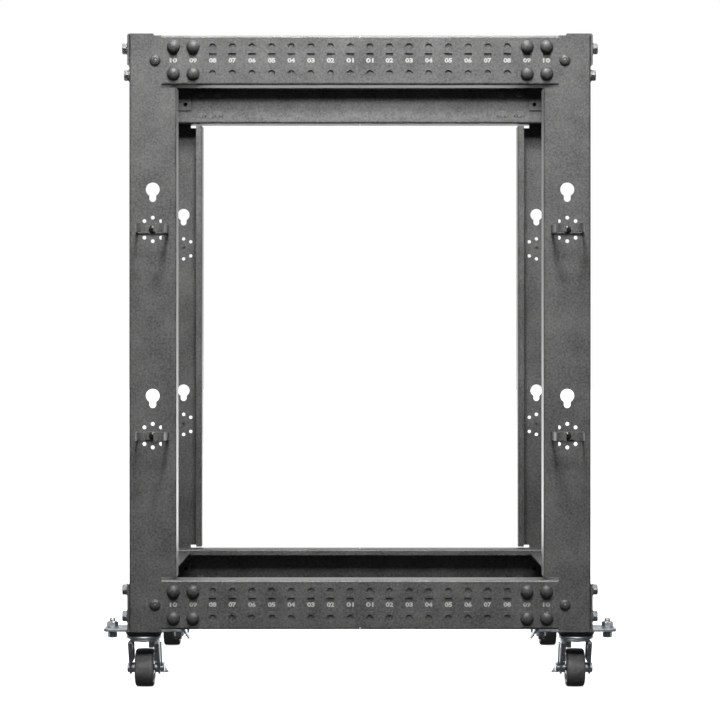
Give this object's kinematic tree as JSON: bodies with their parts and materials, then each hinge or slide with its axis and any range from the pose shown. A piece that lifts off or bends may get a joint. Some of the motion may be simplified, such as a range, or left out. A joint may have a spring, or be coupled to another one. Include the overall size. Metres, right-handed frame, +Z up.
{
  "type": "four post open frame rack",
  "caption": "Open frame equipment rack for 19 inch gear: posts joined by slotted side beams and cross-beams, with cable rings, on braked swivel casters.",
  "frame": {"origin": "on the floor under the middle of the rack, the centre of the bounding box's underside", "axes": "+X through the rack's depth from front to rear, +Y across its width from right to left, +Z up"},
  "size_m": [0.665, 0.616, 0.85],
  "materials": {
    "black_powder_coat": "fine-textured black powder coat on folded sheet steel",
    "zinc_plated_steel": "bright zinc-plated pressed steel",
    "caster_tyre": "moulded black rubber on a black plastic centre"
  },
  "bodies": {
    "frame": {"bottom_beam_front_left": "black_powder_coat", "bottom_beam_front_right": "black_powder_coat", "bottom_beam_rear_left": "black_powder_coat", "bottom_beam_rear_right": "black_powder_coat", "bottom_cross_beam_front": "black_powder_coat", "bottom_cross_beam_rear": "black_powder_coat", "bottom_splice_left": "black_powder_coat", "bottom_splice_right": "black_powder_coat", "caster_mount_front_left": "zinc_plated_steel", "caster_mount_front_right": "zinc_plated_steel", "caster_mount_rear_left": "zinc_plated_steel", "caster_mount_rear_right": "zinc_plated_steel", "lower_cable_ring_front_left": "black_powder_coat", "lower_cable_ring_front_right": "black_powder_coat", "lower_cable_ring_rear_left": "black_powder_coat", "lower_cable_ring_rear_right": "black_powder_coat", "post_front_left": "black_powder_coat", "post_front_right": "black_powder_coat", "post_rear_left": "black_powder_coat", "post_rear_right": "black_powder_coat", "top_beam_front_left": "black_powder_coat", "top_beam_front_right": "black_powder_coat", "top_beam_rear_left": "black_powder_coat", "top_beam_rear_right": "black_powder_coat", "top_cross_beam_front": "black_powder_coat", "top_cross_beam_rear": "black_powder_coat", "top_splice_left": "black_powder_coat", "top_splice_right": "black_powder_coat", "upper_cable_ring_front_left": "black_powder_coat", "upper_cable_ring_front_right": "black_powder_coat", "upper_cable_ring_rear_left": "black_powder_coat", "upper_cable_ring_rear_right": "black_powder_coat"},
    "caster_front_left": {"caster_fork_front_left": "zinc_plated_steel"},
    "wheel_front_left": {"caster_wheel_front_left": "caster_tyre"},
    "brake_front_left": {"brake_lever_front_left": "zinc_plated_steel"},
    "caster_front_right": {"caster_fork_front_right": "zinc_plated_steel"},
    "wheel_front_right": {"caster_wheel_front_right": "caster_tyre"},
    "brake_front_right": {"brake_lever_front_right": "zinc_plated_steel"},
    "caster_rear_left": {"caster_fork_rear_left": "zinc_plated_steel"},
    "wheel_rear_left": {"caster_wheel_rear_left": "caster_tyre"},
    "brake_rear_left": {"brake_lever_rear_left": "zinc_plated_steel"},
    "caster_rear_right": {"caster_fork_rear_right": "zinc_plated_steel"},
    "wheel_rear_right": {"caster_wheel_rear_right": "caster_tyre"},
    "brake_rear_right": {"brake_lever_rear_right": "zinc_plated_steel"}
  },
  "joints": [
    {"name": "swivel_front_left", "type": "hinge", "parent": "frame", "child": "caster_front_left", "pos_m": [-0.2815, 0.236, 0.065], "axis": [0, 0, 1], "continuous": true},
    {"name": "wheel_spin_front_left", "type": "hinge", "parent": "caster_front_left", "child": "wheel_front_left", "pos_m": [-0.2815, 0.218, 0.025], "axis": [1, 0, 0], "continuous": true},
    {"name": "brake_front_left", "type": "hinge", "parent": "caster_front_left", "child": "brake_front_left", "pos_m": [-0.2815, 0.218, 0.025], "axis": [1, 0, 0], "range_deg": [0, 12]},
    {"name": "swivel_front_right", "type": "hinge", "parent": "frame", "child": "caster_front_right", "pos_m": [-0.2815, -0.236, 0.065], "axis": [0, 0, 1], "continuous": true},
    {"name": "wheel_spin_front_right", "type": "hinge", "parent": "caster_front_right", "child": "wheel_front_right", "pos_m": [-0.2815, -0.218, 0.025], "axis": [1, 0, 0], "continuous": true},
    {"name": "brake_front_right", "type": "hinge", "parent": "caster_front_right", "child": "brake_front_right", "pos_m": [-0.2815, -0.218, 0.025], "axis": [-1, 0, 0], "range_deg": [0, 12]},
    {"name": "swivel_rear_left", "type": "hinge", "parent": "frame", "child": "caster_rear_left", "pos_m": [0.2815, 0.236, 0.065], "axis": [0, 0, 1], "continuous": true},
    {"name": "wheel_spin_rear_left", "type": "hinge", "parent": "caster_rear_left", "child": "wheel_rear_left", "pos_m": [0.2815, 0.218, 0.025], "axis": [1, 0, 0], "continuous": true},
    {"name": "brake_rear_left", "type": "hinge", "parent": "caster_rear_left", "child": "brake_rear_left", "pos_m": [0.2815, 0.218, 0.025], "axis": [1, 0, 0], "range_deg": [0, 12]},
    {"name": "swivel_rear_right", "type": "hinge", "parent": "frame", "child": "caster_rear_right", "pos_m": [0.2815, -0.236, 0.065], "axis": [0, 0, 1], "continuous": true},
    {"name": "wheel_spin_rear_right", "type": "hinge", "parent": "caster_rear_right", "child": "wheel_rear_right", "pos_m": [0.2815, -0.218, 0.025], "axis": [1, 0, 0], "continuous": true},
    {"name": "brake_rear_right", "type": "hinge", "parent": "caster_rear_right", "child": "brake_rear_right", "pos_m": [0.2815, -0.218, 0.025], "axis": [-1, 0, 0], "range_deg": [0, 12]}
  ]
}
